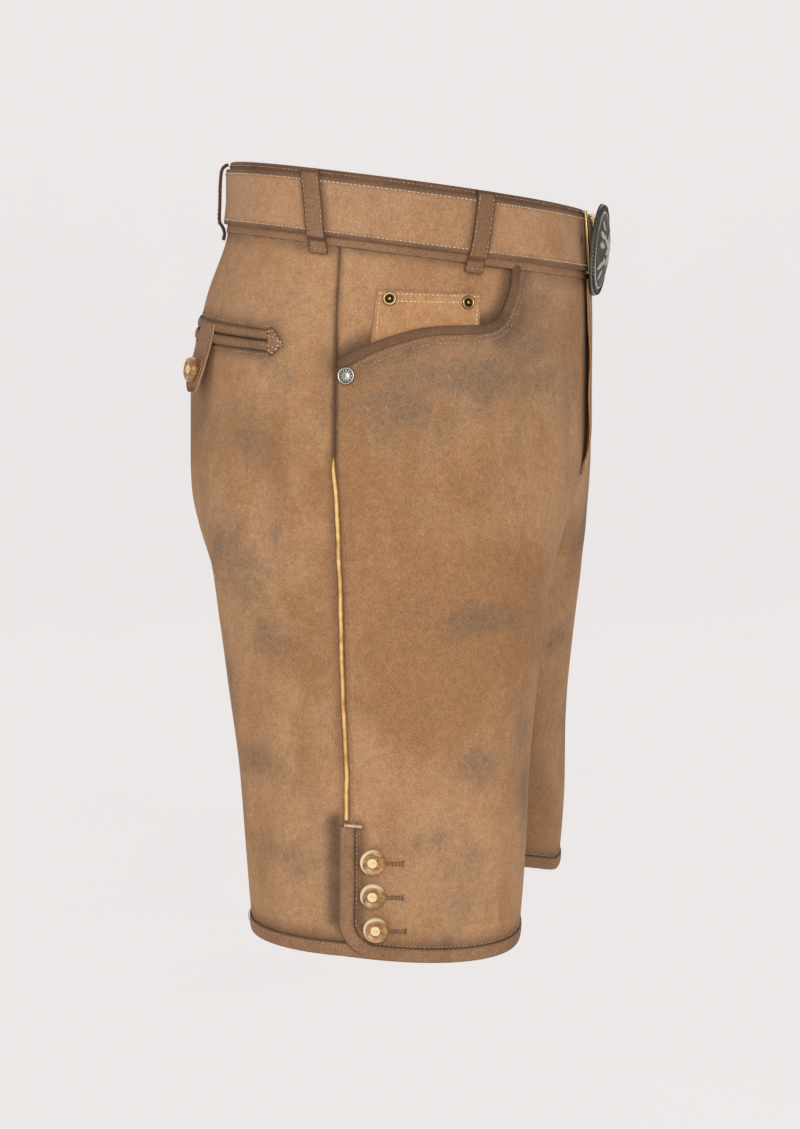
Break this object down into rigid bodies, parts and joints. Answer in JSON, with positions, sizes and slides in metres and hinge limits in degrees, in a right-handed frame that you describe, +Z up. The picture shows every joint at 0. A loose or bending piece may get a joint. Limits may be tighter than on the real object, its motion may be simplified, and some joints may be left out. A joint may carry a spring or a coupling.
{
  "type": "short suede lederhosen with belt",
  "caption": "Short suede lederhosen, filled out and hollow, with belt and oval buckle, bound pockets, side piping, buttoned side vents and bound hems.",
  "frame": {"origin": "middle of the waist, in the plane of the belt's middle line at the sides", "axes": "+Z up, -Y to the wearer's front, -X to the wearer's right"},
  "size_m": [0.3816, 0.3127, 0.5658],
  "materials": {
    "suede": "worn brushed suede, tan with grey-brown smudges",
    "binding": "dark taupe suede binding",
    "patch": "lighter orange-tan suede",
    "piping": "smooth cream-yellow piping",
    "thread": "waxed sewing thread",
    "horn": "polished horn",
    "brass": "antique brass",
    "pewter": "antique pewter, dark in its hollows"
  },
  "bodies": {
    "root": {"waistband": "suede", "belt": "suede", "fly_lap": "suede", "front_panel_right": "suede", "front_panel_left": "suede", "back_panel_right": "suede", "back_panel_left": "suede", "pocket_facing_right": "suede", "pocket_facing_left": "suede", "belt_loop_back_right": "binding", "belt_loop_back_left": "binding", "pocket_binding_right": "binding", "pocket_binding_left": "binding", "belt_loop_side_right": "binding", "belt_loop_side_left": "binding", "belt_loop_front_right": "binding", "belt_loop_front_left": "binding", "vent_and_hem_band_right": "binding", "vent_and_hem_band_left": "binding", "back_hem_band_right": "binding", "back_hem_band_left": "binding", "welt_upper_right": "binding", "welt_upper_left": "binding", "welt_lower_right": "binding", "welt_lower_left": "binding", "pocket_point_side_right": "binding", "pocket_point_side_left": "binding", "pocket_point_back_right": "binding", "pocket_point_back_left": "binding", "pocket_tab_right": "binding", "pocket_tab_left": "binding", "coin_patch": "patch", "side_piping_right": "piping", "side_piping_left": "piping", "vent_button_1_right": "horn", "vent_button_1_left": "horn", "vent_button_2_right": "horn", "vent_button_2_left": "horn", "vent_button_3_right": "horn", "vent_button_3_left": "horn", "tab_button_right": "horn", "tab_button_left": "horn", "buckle_bar_right": "brass", "buckle_bar_left": "brass", "coin_patch_eyelet_1": "brass", "coin_patch_eyelet_2": "brass", "buckle_plate": "pewter", "side_rivet_right": "pewter", "side_rivet_left": "pewter"}
  },
  "joints": []
}
